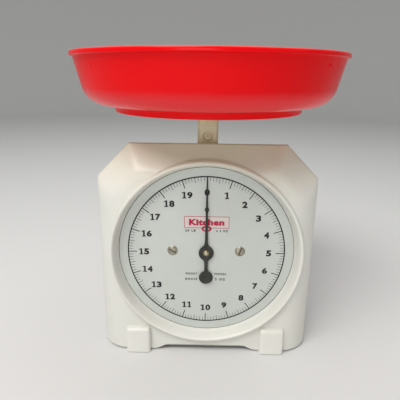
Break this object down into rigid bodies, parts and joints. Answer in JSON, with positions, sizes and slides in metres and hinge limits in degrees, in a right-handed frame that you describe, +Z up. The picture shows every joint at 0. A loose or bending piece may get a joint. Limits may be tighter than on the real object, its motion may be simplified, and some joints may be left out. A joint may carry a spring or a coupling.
{
  "type": "kitchen scale",
  "caption": "Spring kitchen scale: cream plastic case with a round dial and needle, and a red round pan on a post.",
  "frame": {"origin": "on the table under the middle of the pan and its post", "axes": "+X to the right facing the dial, +Y away from the user, +Z up"},
  "size_m": [0.24, 0.24, 0.2652],
  "materials": {
    "cream_plastic": "moulded, slightly worn",
    "post_plastic": "moulded, yellowed",
    "red_plastic": "glossy, lightly scratched",
    "clear_lens": "clear",
    "dial_metal": "printed, satin silver",
    "pointer_black": "matt black",
    "brass": "turned",
    "aged_nickel": "tarnished plating",
    "steel": "zinc plated",
    "painted_base": "grey paint",
    "black_rubber": "matt",
    "black_plastic": "moulded, ribbed"
  },
  "bodies": {
    "case": {"front_case": "cream_plastic", "rear_case": "cream_plastic", "base_plate": "painted_base", "rubber_feet": "black_rubber", "case_screws": "steel", "base_screws": "steel", "lens": "clear_lens", "lens_ring": "cream_plastic", "dial_plate": "dial_metal", "dial_screws": "aged_nickel", "front_plate": "steel", "back_plate": "steel", "pillars": "steel", "pillar_nuts": "steel", "chassis_screws": "steel", "pinion_bracket": "steel", "bracket_rivets": "steel", "front_bush": "brass", "rear_bush": "brass", "upper_frame_pin": "steel", "lower_frame_pin": "steel", "arm_spacers": "steel", "left_spring": "steel", "right_spring": "steel", "spring_hanger": "steel"},
    "column": {"column": "steel", "pan_support": "post_plastic", "post_screw": "post_plastic", "crossbar": "steel", "crossbar_rivets": "steel", "rack_bracket": "steel", "bracket_pins": "steel", "rack": "brass", "upper_column_pin": "steel", "lower_column_pin": "steel"},
    "bowl": {"bowl": "red_plastic"},
    "upper_arm": {"upper_arm": "steel"},
    "lower_arm": {"lower_arm": "steel"},
    "pointer": {"pointer": "pointer_black", "pointer_boss": "brass", "pinion": "brass", "pinion_shaft": "steel"},
    "zero_knob": {"zero_knob": "black_plastic", "zero_screw": "steel"}
  },
  "joints": [
    {"name": "pan_travel", "type": "slide", "parent": "case", "child": "column", "axis": [0, 0, -1], "range_m": [0, 0.0157], "stiffness_N_per_m": 5670, "springref_m": -0.0012, "deforming": ["left_spring", "right_spring"]},
    {"name": "bowl_lift", "type": "slide", "parent": "column", "child": "bowl", "axis": [0, 0, 1], "range_m": [0, 0.06]},
    {"name": "pointer_turn", "type": "hinge", "parent": "case", "child": "pointer", "pos_m": [0, -0.05, 0.096], "axis": [0, 1, 0], "range_deg": [0, 360]},
    {"name": "upper_arm_swing", "type": "hinge", "parent": "case", "child": "upper_arm", "pos_m": [-0.05545, 0, 0.14215], "axis": [0, 1, 0], "range_deg": [0, 16.5]},
    {"name": "lower_arm_swing", "type": "hinge", "parent": "case", "child": "lower_arm", "pos_m": [-0.05545, 0, 0.05215], "axis": [0, 1, 0], "range_deg": [0, 16.5]},
    {"name": "zero_turn", "type": "hinge", "parent": "case", "child": "zero_knob", "pos_m": [0, 0.02, 0.18], "axis": [0, 0, 1], "range_deg": [-540, 540]}
  ],
  "couplings": [
    {"joint": "pointer_turn", "follows": "pan_travel", "rad_per_m": 400},
    {"joint": "upper_arm_swing", "follows": "pan_travel", "rad_per_m": 17.916},
    {"joint": "lower_arm_swing", "follows": "pan_travel", "rad_per_m": 17.916}
  ]
}
